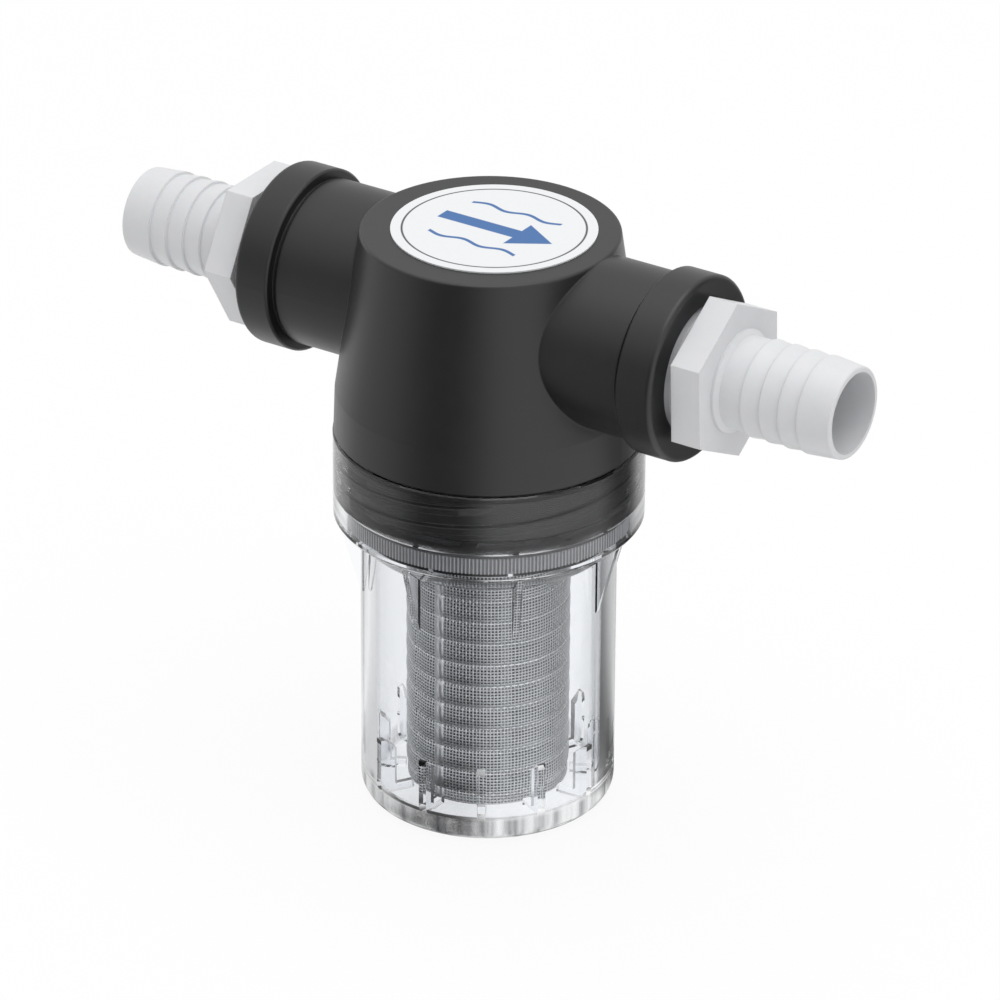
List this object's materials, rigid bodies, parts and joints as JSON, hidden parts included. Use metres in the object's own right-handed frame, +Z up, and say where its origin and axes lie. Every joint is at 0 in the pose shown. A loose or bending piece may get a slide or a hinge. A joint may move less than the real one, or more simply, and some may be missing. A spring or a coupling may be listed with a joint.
{
  "type": "fresh water strainer",
  "caption": "In-line water strainer: black head with two opposite hose-barb ports, a screw-on clear bowl and a cylindrical mesh screen that plugs up into the head.",
  "frame": {"origin": "centre of the bowl's underside, which the strainer stands on", "axes": "+Z up along the bowl's axis; X along the two ports, inlet at -X and outlet at +X"},
  "size_m": [0.1744, 0.0656, 0.1322],
  "materials": {
    "head_black": "satin moulded black plastic",
    "label_paper": "printed film",
    "adapter_white": "satin moulded white plastic",
    "bowl_clear": "clear moulded plastic",
    "seal_rubber": "moulded rubber",
    "screen_grey": "satin moulded grey plastic",
    "screen_wire": "fine stainless wire cloth"
  },
  "bodies": {
    "head": {"head": "head_black", "top_label": "label_paper", "inlet_adapter": "adapter_white", "outlet_adapter": "adapter_white", "bowl_ring": "seal_rubber"},
    "screen": {"screen_frame": "screen_grey", "screen_mesh": "screen_wire", "screen_ring": "seal_rubber"},
    "bowl": {"bowl": "bowl_clear"}
  },
  "joints": [
    {"name": "bowl_drop", "type": "slide", "parent": "head", "child": "screen", "axis": [0, 0, -1], "range_m": [0, 0.00848]},
    {"name": "bowl_turn", "type": "hinge", "parent": "screen", "child": "bowl", "pos_m": [0, 0, 0], "axis": [0, 0, -1], "range_deg": [0, 230]}
  ],
  "couplings": [
    {"joint": "bowl_drop", "follows": "bowl_turn", "m_per_rad": 0.0021009}
  ]
}
